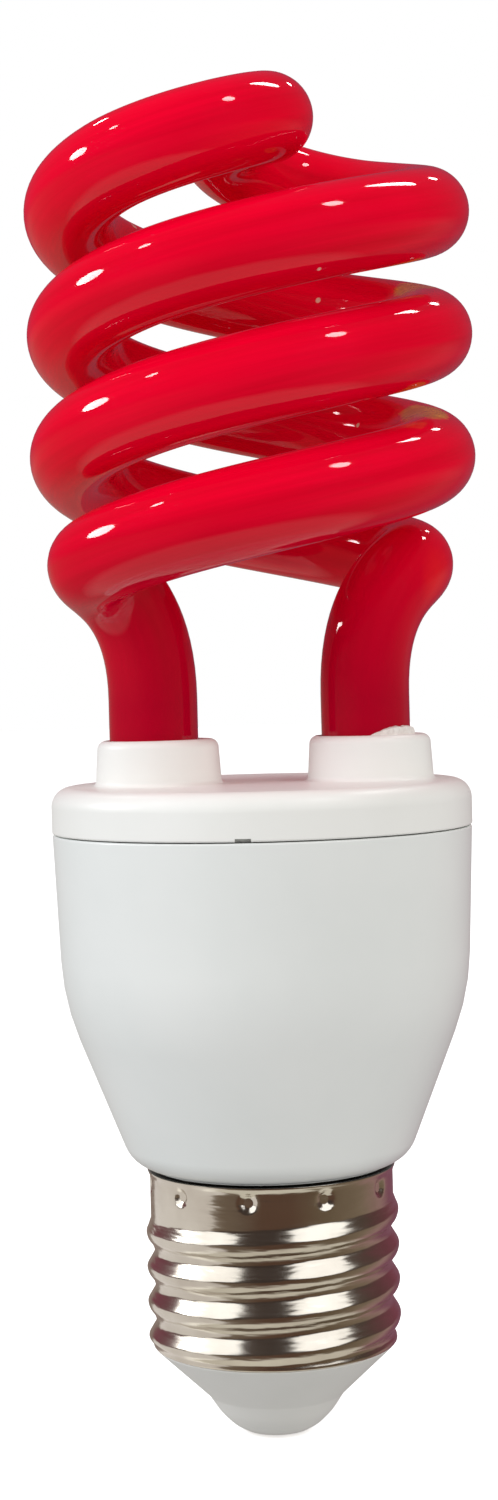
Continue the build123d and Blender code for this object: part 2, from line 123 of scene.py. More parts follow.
# Screw shell
SHELL_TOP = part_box("screw_shell")[1].z
SHELL_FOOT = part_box("screw_shell")[0].z
SHEET = 0.3 * MM
SHELL_SKIRT_R = 12.7 * MM
THREAD_PITCH = 3.63 * MM
THREAD_CREST_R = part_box("screw_shell")[1].x
THREAD_ROOT_R = 12.4 * MM
CREST_LEFT_Z = 17.4 * MM
THREAD_RUNOUT = (2.0, 2.25)
ROLL_RIDGE = 0.014 * MM
RIDGES_PER_TURN = 4
FOOT_R = 12.75 * MM
FOOT_FLARE = (0.15 * MM, 1.1 * MM)
LIP_R = 13.0 * MM
LIP_FOOT = 26.9 * MM
LEDGE_R = 12.44 * MM
LEDGE_Z = 27.72 * MM
LEDGE_EDGE = 0.02 * MM
NECK_PLAY = 0.01 * MM
CRIMP_COUNT = 10
CRIMP_Z = 26.15 * MM
CRIMP_R = 1.2 * MM
CRIMP_DEPTH = 0.42 * MM
CRIMP_ANGLE = math.radians(-137)
# Roundings at the sheet's two ends: the distance from the end, and how much less the radius is there
SHEET_ENDS = ((0.0, 0.16 * MM), (0.03 * MM, 0.07 * MM), (0.1 * MM, 0.015 * MM))
ENDS_HEIGHT = 0.2 * MM
# Heights between which the gap under the housing turns black: painted shade in that recess
GAP_PAINTED_SHADE = (LEDGE_Z - 0.08 * MM, LEDGE_Z + 0.02 * MM)
SHELL_COLUMNS = 360
SHELL_ROWS = 116

# Insulator
SHELL_BORE = 11.8 * MM
SHELL_EDGE_R = 12.7 * MM
SHELL_EDGE = 0.12 * MM
NOSE = ((7.15 * MM, 4.05 * MM, 1.2 * MM), (6.0 * MM, 2.3 * MM, 6.0 * MM), (4.6 * MM, 0.9 * MM, 4.0 * MM))
PLUG_TOP = 10.3 * MM
HUB_R = 4.0 * MM
HUB_TOP = 10.8 * MM
EYELET_R = 1.5 * MM
CONTACT_R = 3.5 * MM
CONTACT_THICK = 0.3 * MM

TURNED_COLUMNS = 192
ARC_STEP = math.radians(8)


def srgb(code):
    """A hex sRGB colour as linear red, green, blue and alpha."""
    channels = [int(code[i:i + 2], 16) / 255 for i in (1, 3, 5)]
    linear = [c / 12.92 if c <= 0.04045 else ((c + 0.055) / 1.055) ** 2.4 for c in channels]
    return (*linear, 1.0)


def smooth_step(value, low, high):
    """0 below low, 1 above high, and an even curve between."""
    level = min(1.0, max(0.0, (value - low) / (high - low)))
    return level * level * (3 - 2 * level)


def add(tree, kind, inputs=None, stops=(), **settings):
    """Adds a node. Settings are its options, and stops the places and hex colours of a ramp. Inputs
    are its sockets' values, or the sockets or nodes that feed them."""
    made = tree.nodes.new(kind)
    for option, value in settings.items():
        setattr(made, option, value)
    for socket, value in (inputs or {}).items():
        if isinstance(value, bpy.types.Node):
            value = next(output for output in value.outputs if output.enabled)
        if isinstance(value, bpy.types.NodeSocket):
            tree.links.new(value, made.inputs[socket])
        else:
            made.inputs[socket].default_value = value
    for number, (place, code) in enumerate(stops):
        ramp = made.color_ramp.elements
        stop = ramp[number] if number < 2 else ramp.new(place)
        stop.position = place
        stop.color = srgb(code)
    return made


# Colour sockets of a Mix node
FIRST, SECOND = 6, 7


def new_material(name):
    """A material and its tree, still empty."""
    material = bpy.data.materials.new(name)
    material.use_nodes = True
    material.node_tree.nodes.clear()
    return material, material.node_tree


def per_mm(*sizes):
    """The scale of a pattern whose features have the given sizes in mm along X, Y and Z."""
    return tuple(1 / (size * MM) for size in sizes)


def patches(tree, place, ragged, spots, edge, roughly):
    """1 inside any of several ellipsoids, whose edges are ragged. A spot is its middle and half sizes
    in mm, and its turn in degrees."""
    highest = 0.0
    rim = 1.0 + roughly / 2
    for middle, sizes, turn in spots:
        inputs = {
            "Vector": place,
            "Location": tuple(c * MM for c in middle),
            "Rotation": tuple(math.radians(angle) for angle in turn),
            "Scale": tuple(size * MM for size in sizes),
        }
        inside = add(tree, "ShaderNodeMapping", inputs, vector_type="TEXTURE")
        away = add(tree, "ShaderNodeVectorMath", {0: inside}, operation="LENGTH")
        uneven = add(tree, "ShaderNodeMath", {0: ragged, 1: roughly, 2: away}, operation="MULTIPLY_ADD")
        limits = {"From Min": rim - edge, "From Max": rim + edge, "To Min": 1.0, "To Max": 0.0}
        spot = add(tree, "ShaderNodeMapRange", {"Value": uneven, **limits})
        highest = add(tree, "ShaderNodeMath", {0: highest, 1: spot}, operation="MAXIMUM")
    return highest


def rounded(corners, closed=True):
    """An outline from corners (radius, height) or (radius, height, rounding), with its roundings as arcs."""
    points = []
    for i, corner in enumerate(corners):
        middle = Vector(corner[:2])
        ends = not closed and i in (0, len(corners) - 1)
        if len(corner) < 3 or ends:
            points.append(middle)
            continue
        inwards = (Vector(corners[i - 1][:2]) - middle).normalized()
        outwards = (Vector(corners[(i + 1) % len(corners)][:2]) - middle).normalized()
        half_turn = (math.pi - inwards.angle(outwards)) / 2
        centre = middle + (inwards + outwards).normalized() * (corner[2] / math.cos(half_turn))
        first = middle + inwards * corner[2] * math.tan(half_turn) - centre
        turn = first.angle_signed(middle + outwards * corner[2] * math.tan(half_turn) - centre)
        steps = max(2, math.ceil(abs(turn) / ARC_STEP))
        for step in range(steps + 1):
            points.append(centre + Matrix.Rotation(-turn * step / steps, 2) @ first)
    return points


def ring(bm, radius, height, centre=(0.0, 0.0), columns=TURNED_COLUMNS):
    """A circle of vertices round a vertical axis."""
    made = []
    for column in range(columns):
        angle = 2 * math.pi * column / columns
        x = centre[0] + radius * math.cos(angle)
        y = centre[1] + radius * math.sin(angle)
        made.append(bm.verts.new((x, y, height)))
    return made


def skin(bm, rings, closed=False):
    """Faces between each ring and the next, and from the last to the first if it is closed."""
    followers = rings[1:] + rings[:1] if closed else rings[1:]
    for lower, upper in zip(rings, followers):
        for column in range(len(lower)):
            after = (column + 1) % len(lower)
            bm.faces.new((lower[column], lower[after], upper[after], upper[column]))


def turned(bm, outline, centre=(0.0, 0.0), closed=True, columns=TURNED_COLUMNS):
    """Turns an outline about a vertical axis and returns its rings."""
    rings = [ring(bm, point.x, point.y, centre, columns) for point in outline]
    skin(bm, rings, closed)
    return rings


def edges_of(bm, loop):
    """The edges that join the vertices of a ring."""
    return [bm.edges.get((loop[i - 1], loop[i])) for i in range(len(loop))]


def settled(piece):
    """Replaces a piece's mesh with what its modifiers make of it, and removes them."""
    graph = bpy.context.evaluated_depsgraph_get()
    mesh = bpy.data.meshes.new_from_object(
        piece.evaluated_get(graph), preserve_all_data_layers=True, depsgraph=graph
    )
    mesh.name = piece.name
    piece.modifiers.clear()
    piece.data = mesh
    return piece


def stand_in(piece, nodes):
    """A finished piece rides on the one body and stands for its solids."""
    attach(piece, "root")
    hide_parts(*nodes)
    return piece


def finish_piece(name, bm, material, nodes, sharp=math.radians(35), cutter=None):
    """Makes a mesh object of a bmesh, less a cutter if there is one, smooth up to the sharp angle."""
    bmesh.ops.recalc_face_normals(bm, faces=bm.faces)
    mesh = bpy.data.meshes.new(name)
    bm.to_mesh(mesh)
    bm.free()
    mesh.materials.append(material)
    piece = bpy.data.objects.new(name, mesh)
    bpy.context.scene.collection.objects.link(piece)
    if cutter:
        carve = piece.modifiers.new("cut", "BOOLEAN")
        carve.operation = "DIFFERENCE"
        carve.solver = "EXACT"
        carve.object = cutter
        settled(piece)
        bpy.data.objects.remove(cutter)
    piece.data.shade_smooth()
    piece.data.set_sharp_from_angle(angle=sharp)
    weigh = piece.modifiers.new("weighted_normals", "WEIGHTED_NORMAL")
    weigh.keep_sharp = True
    return stand_in(settled(piece), nodes)


def cutting_block(middle, size, angle):
    """A block for cutting, its sides turned to an angle about the axis."""
    bm = bmesh.new()
    bmesh.ops.create_cube(bm, size=1.0)
    place = Matrix.Rotation(angle, 4, "Z") @ Matrix.Translation(middle) @ Matrix.Diagonal((*size, 1.0))
    bmesh.ops.transform(bm, matrix=place, verts=bm.verts)
    mesh = bpy.data.meshes.new("cutting_block")
    bm.to_mesh(mesh)
    bm.free()
    block = bpy.data.objects.new("cutting_block", mesh)
    bpy.context.scene.collection.objects.link(block)
    return block


# Materials

# Places on the tube where the film differs: middle and half sizes in mm, turn in degrees
THIN_FILM = (((20.6, -1.6, 87.6), (2.6, 4.2, 5.6), (0, 0, 0)),)
BARE_GLASS = (
    ((17.4, 1.6, 120.6), (3.0, 4.8, 2.6), (12, 0, 4)),
    ((17.6, -2.0, 107.2), (3.0, 6.4, 2.8), (12, 0, 12)),
)
# Specks caught in the film: middle and half size in mm
SPECKS = (
    ((7.6, 11.9, 119.6), 0.3), ((6.9, -20.1, 118.2), 0.22), ((11.5, 8.4, 105.5), 0.25),
    ((-12.2, 9.3, 127.8), 0.4), ((-12.6, -17.2, 124.4), 0.22), ((-11.8, -17.6, 111.2), 0.22),
)
# Heights between which the red grows darker towards the bottom of the tube, down the bends and legs
LOW_DARKENING = (96 * MM, 76 * MM)


def red_lacquer():
    """Blown soda-lime glass dipped in transparent red lacquer: a deep wet gloss over an uneven red
    film. The film has faint runs along the tube, grows darker towards the bottom down the legs, is thin
    and more orange on the right bend, leaves the glass bare in two places between the turns where the
    dip never reached, and has caught a few specks."""
    material, tree = new_material("red_lacquered_glass")
    flow = add(tree, "ShaderNodeAttribute", attribute_name="flow").outputs["Vector"]
    place = add(tree, "ShaderNodeTexCoord").outputs["Object"]
    film = add(tree, "ShaderNodeTexNoise", {"Vector": place, "Scale": 1 / (14 * MM), "Detail": 3.0})
    reds = add(tree, "ShaderNodeValToRGB", {0: film}, stops=((0.3, "#EA0028"), (0.7, "#F4002E")))
    # runs of the dip: a millimetre or two across and some centimetres along
    drawn = add(tree, "ShaderNodeMapping", {"Vector": flow, "Scale": per_mm(40, 1.6, 1.6)})
    runs = add(tree, "ShaderNodeTexNoise", {"Vector": drawn, "Scale": 1.0, "Detail": 4.0, "Roughness": 0.6})
    run = add(tree, "ShaderNodeMapRange", {"Value": runs, "From Min": 0.4, "From Max": 0.75})
    height = add(tree, "ShaderNodeSeparateXYZ", {0: place}).outputs[2]
    # darker towards the bottom of the tube, down the bends and legs
    light_above, dark_below = LOW_DARKENING
    darker_low = add(
        tree, "ShaderNodeMapRange", {"Value": height, "From Min": light_above, "From Max": dark_below}
    )
    ragged = add(tree, "ShaderNodeTexNoise", {"Vector": place, "Scale": 1 / (1.2 * MM), "Detail": 3.0})
    glassy = add(tree, "ShaderNodeValToRGB", {0: ragged}, stops=((0.35, "#E8A238"), (0.65, "#CC8826")))
    specks = [(middle, (size,) * 3, (0, 0, 0)) for middle, size in SPECKS]
    colour = reds
    for mask, layer in (
        (run, srgb("#DC0024")),
        (darker_low, srgb("#B20024")),
        (patches(tree, place, ragged, THIN_FILM, edge=0.35, roughly=0.3), srgb("#E81A24")),
        (patches(tree, place, ragged, BARE_GLASS, edge=0.08, roughly=0.35), glassy),
        (patches(tree, place, ragged, specks, edge=0.2, roughly=0.3), srgb("#E8B8A0")),
    ):
        colour = add(tree, "ShaderNodeMix", {"Factor": mask, FIRST: colour, SECOND: layer}, data_type="RGBA")
    gloss = add(tree, "ShaderNodeMapRange", {"Value": runs, "To Min": 0.3, "To Max": 0.45})
    # the film pools into low waves, which bend the edges of a reflection
    pooled = add(tree, "ShaderNodeMapping", {"Vector": flow, "Scale": per_mm(9, 4, 4)})
    ripple = add(tree, "ShaderNodeTexNoise", {"Vector": pooled, "Scale": 1.0, "Detail": 2.0})
    bump = add(tree, "ShaderNodeBump", {"Height": ripple, "Strength": 0.2, "Distance": 0.25 * MM})
    shader = add(tree, "ShaderNodeBsdfPrincipled", {
        "Base Color": colour, "Roughness": gloss, "IOR": 1.5, "Specular IOR Level": 0.0,
        "Coat Weight": 1.0, "Coat Roughness": 0.05, "Coat IOR": 1.4, "Coat Normal": bump,
    })
    add(tree, "ShaderNodeOutputMaterial", {"Surface": shader})
    return material


def moulded_plastic(name, pale, shaded, roughness):
    """Injection-moulded plastic: an even satin skin with a very slight orange peel, a faint cloudiness
    and a few rubbed places that shine a little more."""
    material, tree = new_material(name)
    place = add(tree, "ShaderNodeTexCoord").outputs["Object"]
    cloud = add(tree, "ShaderNodeTexNoise", {"Vector": place, "Scale": 1 / (16 * MM), "Detail": 4.0})
    colour = add(tree, "ShaderNodeValToRGB", {0: cloud}, stops=((0.35, pale), (0.7, shaded)))
    rubbed = add(
        tree, "ShaderNodeMapRange", {"Value": cloud, "To Min": roughness - 0.06, "To Max": roughness + 0.08}
    )
    # orange peel: waves a little under a millimetre across
    peel = add(tree, "ShaderNodeTexNoise", {"Vector": place, "Scale": 1 / (0.8 * MM), "Detail": 2.0})
    bump = add(tree, "ShaderNodeBump", {"Height": peel, "Strength": 0.12, "Distance": 0.02 * MM})
    shader = add(
        tree, "ShaderNodeBsdfPrincipled",
        {"Base Color": colour, "Roughness": rubbed, "IOR": 1.46, "Normal": bump},
    )
    add(tree, "ShaderNodeOutputMaterial", {"Surface": shader})
    return material


def nickel():
    """Brass sheet rolled into a thread and nickel-plated: a warm grey mirror with fine lines round the
    axis from the rolling, low waves, and a light brown bloom. The near black in the gap under
    the housing is painted shade."""
    material, tree = new_material("nickel_plated_brass_sheet")
    place = add(tree, "ShaderNodeTexCoord").outputs["Object"]
    bloom = add(tree, "ShaderNodeTexNoise", {"Vector": place, "Scale": 1 / (5 * MM), "Detail": 5.0})
    plated = add(tree, "ShaderNodeValToRGB", {0: bloom}, stops=((0.35, "#DCD8CE"), (0.75, "#CBC5BA")))
    height = add(tree, "ShaderNodeSeparateXYZ", {0: place}).outputs[2]
    # painted shade: the gap under the housing is coloured near black
    lit_below, shaded_above = GAP_PAINTED_SHADE
    gap_shade = add(
        tree, "ShaderNodeMapRange", {"Value": height, "From Min": lit_below, "From Max": shaded_above}
    )
    colour = add(
        tree, "ShaderNodeMix", {"Factor": gap_shade, FIRST: plated, SECOND: srgb("#171412")}, data_type="RGBA"
    )
    # roller marks a quarter of a millimetre apart
    rolled = add(tree, "ShaderNodeMapping", {"Vector": place, "Scale": per_mm(30, 30, 0.25)})
    lines = add(tree, "ShaderNodeTexNoise", {"Vector": rolled, "Scale": 1.0, "Detail": 3.0})
    gloss = add(tree, "ShaderNodeMapRange", {"Value": lines, "To Min": 0.1, "To Max": 0.24})
    marks = add(tree, "ShaderNodeBump", {"Height": lines, "Strength": 0.25, "Distance": 0.02 * MM})
    # low waves that the rolling left, some millimetres long
    drawn = add(tree, "ShaderNodeMapping", {"Vector": place, "Scale": per_mm(5, 5, 0.9)})
    waves = add(tree, "ShaderNodeTexNoise", {"Vector": drawn, "Scale": 1.0, "Detail": 2.0})
    uneven = add(
        tree, "ShaderNodeBump", {"Height": waves, "Strength": 0.4, "Distance": 0.25 * MM, "Normal": marks}
    )
    shader = add(
        tree, "ShaderNodeBsdfPrincipled",
        {"Base Color": colour, "Metallic": 1.0, "Roughness": gloss, "Normal": uneven},
    )
    add(tree, "ShaderNodeOutputMaterial", {"Surface": shader})
    return material


def speckled(name, first, second, grain, roughness, metallic=0.0):
    """A finish whose colour and gloss wander between two tones over grains of the given size in mm."""
    material, tree = new_material(name)
    place = add(tree, "ShaderNodeTexCoord").outputs["Object"]
    grains = add(tree, "ShaderNodeTexNoise", {"Vector": place, "Scale": 1 / (grain * MM), "Detail": 4.0})
    colour = add(tree, "ShaderNodeValToRGB", {0: grains}, stops=((0.35, first), (0.65, second)))
    gloss = add(
        tree, "ShaderNodeMapRange", {"Value": grains, "To Min": roughness - 0.08, "To Max": roughness + 0.08}
    )
    bump = add(tree, "ShaderNodeBump", {"Height": grains, "Strength": 0.2, "Distance": 0.03 * MM})
    shader = add(
        tree, "ShaderNodeBsdfPrincipled",
        {"Base Color": colour, "Metallic": metallic, "Roughness": gloss, "Normal": bump},
    )
    add(tree, "ShaderNodeOutputMaterial", {"Surface": shader})
    return material


# Finishes of the solids that stay as they are: name, two tones, grain in mm, roughness, metallic
PLAIN_FINISHES = {
    # tinned brass, pressed: dull silver with a soft sheen
    "contact_metal": ("tinned_brass", "#CFCBC2", "#B4AFA4", 0.8, 0.3, 1.0),
    # tin solder, cooled in air: slightly frosted grey
    "solder": ("tin_solder", "#BDBDBA", "#9FA09D", 0.3, 0.38, 1.0),
    # phenolic paper laminate, pressed: brown with cloudy fibres
    "board_laminate": ("phenolic_paper_laminate", "#B98A4E", "#A5773E", 1.2, 0.55, 0.0),
    # sintered ferrite: charcoal with a fine grain
    "ferrite": ("sintered_ferrite", "#2B2B2E", "#3A3A3D", 0.3, 0.6, 0.0),
    # black nylon, moulded: soft sheen
    "bobbin_plastic": ("black_nylon", "#1D1D1E", "#282829", 0.9, 0.5, 0.0),
    # enamelled copper wire, wound close: reddish brown and shiny
    "enamelled_copper": ("enamelled_copper_wire", "#B0602E", "#8A4320", 0.25, 0.3, 0.7),
    # tinned copper wire, drawn: bright with faint drawing marks
    "tinned_wire": ("tinned_copper_wire", "#CDCCC7", "#B3B2AD", 0.4, 0.26, 1.0),
    # PVC sleeve, shrunk on a can: dark blue, glossy
    "capacitor_sleeve": ("blue_pvc_sleeve", "#152242", "#1C2B50", 2.0, 0.3, 0.0),
    # epoxy, moulded: near black and matt
    "black_epoxy": ("moulded_epoxy", "#1A1A1B", "#272728", 0.3, 0.6, 0.0),
    # polyolefin sleeve, shrunk: black with a soft sheen
    "shrink_sleeve": ("polyolefin_sleeve", "#222223", "#2E2E2F", 1.5, 0.45, 0.0),
    # epoxy lacquer, dipped: brick red, thick and glossy
    "dipped_film": ("dipped_epoxy_lacquer", "#8C2D1F", "#772417", 1.8, 0.25, 0.0),
    # tinted glass bead, sealed: blue and glossy
    "trigger_glass": ("tinted_glass_bead", "#2C5A99", "#3A6DB2", 0.8, 0.15, 0.0),
    # lacquered ceramic rod: tan with a soft sheen
    "resistor_body": ("lacquered_ceramic", "#C8A27B", "#B79069", 0.9, 0.4, 0.0),
    # PVC insulation, extruded: off white, a little rubbed
    "wire_insulation": ("white_pvc_insulation", "#DAD9D3", "#CBCAC3", 1.5, 0.45, 0.0),
}


def finish_solids():
    """Gives each solid that shows as it is the finish of its own slot in the record."""
    materials = {}
    for subpart in frame["record"]["subparts"]:
        slot = subpart["material_slot"]
        if slot in PLAIN_FINISHES:
            if slot not in materials:
                materials[slot] = speckled(*PLAIN_FINISHES[slot])
            for holder_slot in frame["nodes"][subpart["node"]].material_slots:
                holder_slot.material = materials[slot]


# Spiral tube

def on_coil(angle):
    """A point of the coil's centreline."""
    height = COIL_BASE + PITCH * angle / (2 * math.pi)
    return Vector((COIL_R * math.cos(angle), COIL_R * math.sin(angle), height))


def strand():
    """One leg, its bend, one and a half turns of the coil and half of the bridge over the top."""
    slope = PITCH / (2 * math.pi * COIL_R)
    leg = LEG_TOP - LEG_FOOT
    points = [Vector((LEG_X, 0, LEG_FOOT + leg * i / LEG_STEPS)) for i in range(LEG_STEPS)]
    start = Vector((LEG_X, 0, LEG_TOP))
    end = on_coil(COIL_START)
    backwards = Vector((math.sin(COIL_START), -math.cos(COIL_START), -slope)).normalized()
    near_leg = start + Vector((0, 0, BEND_AT_LEG))
    near_coil = end + backwards * BEND_AT_COIL
    for i in range(BEND_STEPS):
        t = i / BEND_STEPS
        s = 1 - t
        points.append(start * s**3 + near_leg * 3 * s * s * t + near_coil * 3 * s * t * t + end * t**3)
    coil_steps = round((COIL_END - COIL_START) * COIL_R / ROUTE_STEP)
    points += [on_coil(COIL_START + (COIL_END - COIL_START) * i / coil_steps) for i in range(coil_steps)]
    length = math.pi * COIL_R / 2
    square = (3 * BRIDGE_RISE - 2 * slope * length) / length**2
    cube = (slope * length - 2 * BRIDGE_RISE) / length**3
    top = COIL_BASE + PITCH * COIL_END / (2 * math.pi)
    bridge_steps = round(length / ROUTE_STEP)
    for i in range(bridge_steps):
        along = length * i / bridge_steps
        turn = COIL_END + math.pi * i / bridge_steps
        points.append(
            Vector((
                COIL_R / 2 * (math.cos(COIL_END) + math.cos(turn)),
                COIL_R / 2 * (math.sin(COIL_END) + math.sin(turn)),
                top + slope * along + square * along**2 + cube * along**3,
            ))
        )
    middle = Vector((0, 0, top + BRIDGE_RISE))
    return points, middle


def tube_tree():
    """A tree that blows a closed round tube along a curve and notes where each point lies on it."""
    tree = bpy.data.node_groups.new("blown_tube", "GeometryNodeTree")
    for name, kind in (("Path", "Geometry"), ("Radius", "Float"), ("Sides", "Int"), ("Glass", "Material")):
        tree.interface.new_socket(name, in_out="INPUT", socket_type="NodeSocket" + kind)
    tree.interface.new_socket("Tube", in_out="OUTPUT", socket_type="NodeSocketGeometry")
    given = add(tree, "NodeGroupInput").outputs
    along = add(tree, "GeometryNodeSplineParameter").outputs["Length"]
    path = add(
        tree, "GeometryNodeStoreNamedAttribute",
        {"Geometry": given["Path"], "Name": "along", "Value": along},
        data_type="FLOAT", domain="POINT",
    )
    circle = add(
        tree, "GeometryNodeCurvePrimitiveCircle", {"Radius": given["Radius"], "Resolution": given["Sides"]}
    )
    around = add(tree, "GeometryNodeInputPosition")
    section = add(
        tree, "GeometryNodeStoreNamedAttribute",
        {"Geometry": circle.outputs["Curve"], "Name": "around", "Value": around},
        data_type="FLOAT_VECTOR", domain="POINT",
    )
    tube = add(tree, "GeometryNodeCurveToMesh", {"Curve": path, "Profile Curve": section, "Fill Caps": True})
    read_along = add(tree, "GeometryNodeInputNamedAttribute", {"Name": "along"}, data_type="FLOAT")
    read_around = add(tree, "GeometryNodeInputNamedAttribute", {"Name": "around"}, data_type="FLOAT_VECTOR")
    around_parts = add(tree, "ShaderNodeSeparateXYZ", {0: read_around.outputs["Attribute"]}).outputs
    place = add(
        tree, "ShaderNodeCombineXYZ",
        {0: read_along.outputs["Attribute"], 1: around_parts[0], 2: around_parts[1]},
    )
    noted = add(
        tree, "GeometryNodeStoreNamedAttribute",
        {"Geometry": tube, "Name": "flow", "Value": place},
        data_type="FLOAT_VECTOR", domain="POINT",
    )
    smooth = add(tree, "GeometryNodeSetShadeSmooth", {"Geometry": noted})
    real = add(tree, "GeometryNodeRealizeInstances", {"Geometry": smooth})
    painted = add(tree, "GeometryNodeSetMaterial", {"Geometry": real, "Material": given["Glass"]})
    add(tree, "NodeGroupOutput", {"Tube": painted})
    return tree


def set_inputs(modifier, **values):
    """Sets a Geometry Nodes modifier's inputs by their sockets' identifiers."""
    for item in modifier.node_group.interface.items_tree:
        if item.item_type == "SOCKET" and item.in_out == "INPUT" and item.name in values:
            modifier[item.identifier] = values[item.name]


def spiral_tube():
    """The whole tube: one strand, the middle of the bridge, and the strand again, turned half round."""
    first, middle = strand()
    half_turn = Matrix.Rotation(math.pi, 3, "Z")
    route = first + [middle] + [half_turn @ point for point in reversed(first)]
    curve = bpy.data.curves.new("tube_route", "CURVE")
    curve.dimensions = "3D"
    spline = curve.splines.new("POLY")
    spline.points.add(len(route) - 1)
    for point, place in zip(spline.points, route):
        point.co = (*place, 1.0)
    path = bpy.data.objects.new("tube_route", curve)
    bpy.context.scene.collection.objects.link(path)
    blow = path.modifiers.new("blown_tube", "NODES")
    blow.node_group = tube_tree()
    set_inputs(blow, Radius=TUBE_R, Sides=TUBE_SIDES, Glass=red_lacquer())
    graph = bpy.context.evaluated_depsgraph_get()
    mesh = bpy.data.meshes.new_from_object(
        path.evaluated_get(graph), preserve_all_data_layers=True, depsgraph=graph
    )
    mesh.name = "glass_spiral"
    path.modifiers.clear()
    bpy.data.objects.remove(path)
    piece = bpy.data.objects.new("glass_spiral", mesh)
    bpy.context.scene.collection.objects.link(piece)
    return stand_in(piece, ["spiral_tube"])


# Tube holder

def holder():
    """The white cover: a turned flank with a snap skirt, a slot at the seam, and two collars, whose
    outsides stand a little to the right of their bores."""
    bm = bmesh.new()
    lip = SEAM + SEAM_GAP
    flank = turned(
        bm,
        rounded(
            [
                (COLLAR_FOOT_R, HOLDER_TOP),
                (HOLDER_R, HOLDER_TOP, HOLDER_EDGE),
                (HOLDER_R, lip, SEAM_EDGE),
                (SKIRT_R, lip),
                (SKIRT_R, SKIRT_FOOT),
                (SKIRT_R - SKIRT_WALL, SKIRT_FOOT),
                (SKIRT_R - SKIRT_WALL, HOLDER_TOP - COVER_WALL),
            ],
            closed=False,
        )[1:],
        closed=False,
    )
    top_loops, under_loops = [flank[0]], [flank[-1]]
    collar_outside = rounded(
        [
            (COLLAR_FOOT_R + 2 * COLLAR_FILLET, HOLDER_TOP),
            (COLLAR_FOOT_R, HOLDER_TOP, COLLAR_FILLET),
            (COLLAR_TOP_R, COLLAR_TOP, COLLAR_EDGE),
            (SOCKET_R, COLLAR_TOP),
        ],
        closed=False,
    )[1:-1]
    collar_bore = rounded(
        [
            (COLLAR_TOP_R, COLLAR_TOP),
            (SOCKET_R, COLLAR_TOP, COLLAR_MOUTH),
            (SOCKET_R, HOLDER_TOP - COVER_WALL),
        ],
        closed=False,
    )[1:]
    for side in (-LEG_X, LEG_X):
        shifted = side + COLLAR_SHIFT
        outside = turned(bm, collar_outside, (shifted, 0.0), closed=False, columns=COLLAR_COLUMNS)
        bore = turned(bm, collar_bore, (side, 0.0), closed=False, columns=COLLAR_COLUMNS)
        skin(bm, [outside[-1], bore[0]])
        top_loops.append(outside[0])
        under_loops.append(bore[-1])
    for loops in (top_loops, under_loops):
        edges = [edge for loop in loops for edge in edges_of(bm, loop)]
        bmesh.ops.triangle_fill(bm, edges=edges, use_beauty=True)
    slot = cutting_block(
        (HOLDER_R, 0.0, SEAM + SLOT_HEIGHT / 2), (2 * SLOT_DEPTH, SLOT_WIDTH, SLOT_HEIGHT), SLOT_ANGLE
    )
    # PBT, moulded: warm white with a satin skin
    plastic = moulded_plastic("warm_white_pbt", "#F7F7F4", "#F1F1ED", 0.36)
    return finish_piece("moulded_tube_holder", bm, plastic, ["tube_holder"], cutter=slot)


# Cement

def cement(name, node, side, bead, material):
    """The cement between a leg and its collar: a lumpy ring just under the rim. On the right leg it
    is heaped over the rim at one side."""
    bm = bmesh.new()
    rings = [ring(bm, SOCKET_R, CEMENT_FOOT, (side, 0.0), CEMENT_COLUMNS)]
    top_rings = [[] for _ in CEMENT_TOP]
    for column in range(CEMENT_COLUMNS):
        angle = 2 * math.pi * column / CEMENT_COLUMNS
        signed = angle - 2 * math.pi if angle > math.pi else angle
        # lumps some millimetres long, and a finer grit
        lump = noise.noise(Vector((3 * math.cos(angle) + side / MM, 3 * math.sin(angle), 0.0)))
        fine = noise.noise(Vector((9 * math.cos(angle), 9 * math.sin(angle) + side / MM, 4.0)))
        heap = 0.0
        if bead:
            low, full, falling, gone = BEAD_ANGLES
            heap = smooth_step(signed, low, full) * (1 - smooth_step(signed, falling, gone))
            heap *= 1.0 + BEAD_UNEVEN * fine
        for loop, (radius, level) in zip(top_rings, CEMENT_TOP):
            reach = radius + BEAD_REACH * heap * smooth_step(radius, BEAD_LEANS_FROM, SOCKET_R)
            height = COLLAR_TOP - CEMENT_BELOW_RIM + CEMENT_LUMP * lump + CEMENT_GRIT * fine
            height += (CEMENT_LUMP + (BEAD_RISE + CEMENT_BELOW_RIM) * heap) * level
            loop.append(bm.verts.new((side + reach * math.cos(angle), reach * math.sin(angle), height)))
    rings += reversed(top_rings)
    rings.append(ring(bm, TUBE_R - CEMENT_PLAY, CEMENT_FOOT, (side, 0.0), CEMENT_COLUMNS))
    skin(bm, rings, closed=True)
    return finish_piece(name, bm, material, [node], sharp=math.radians(60))


# Ballast housing

def housing():
    """The cup under the holder: a sloping flank, a rounded heel, and a neck inside the shell."""
    bm = bmesh.new()
    turned(
        bm,
        rounded([
            (RIM_R, SEAM, SEAM_EDGE),
            SHOULDER,
            HEEL,
            (NECK_R, HEEL[1]),
            (NECK_R, NECK_FOOT),
            (NECK_BORE, NECK_FOOT),
            (NECK_BORE, HEEL[1] + HOUSING_WALL),
            (HEEL[0] - HOUSING_WALL, HEEL[1] + HOUSING_WALL, HEEL[2] - HOUSING_WALL),
            (SHOULDER[0] - HOUSING_WALL, SHOULDER[1], SHOULDER[2] - HOUSING_WALL),
            (RIM_R - HOUSING_WALL, SEAM),
        ]),
    )
    # PBT, moulded in a polished tool: cool white and a little glossier than the holder
    plastic = moulded_plastic("cool_white_pbt", "#EFF1EF", "#E9ECEA", 0.32)
    return finish_piece("moulded_ballast_housing", bm, plastic, ["ballast_housing"])


# Screw shell

def thread_strength(turns):
    """1 along the thread and 0 past its runout, which is behind the bulb."""
    return 1 - smooth_step(turns, *THREAD_RUNOUT)


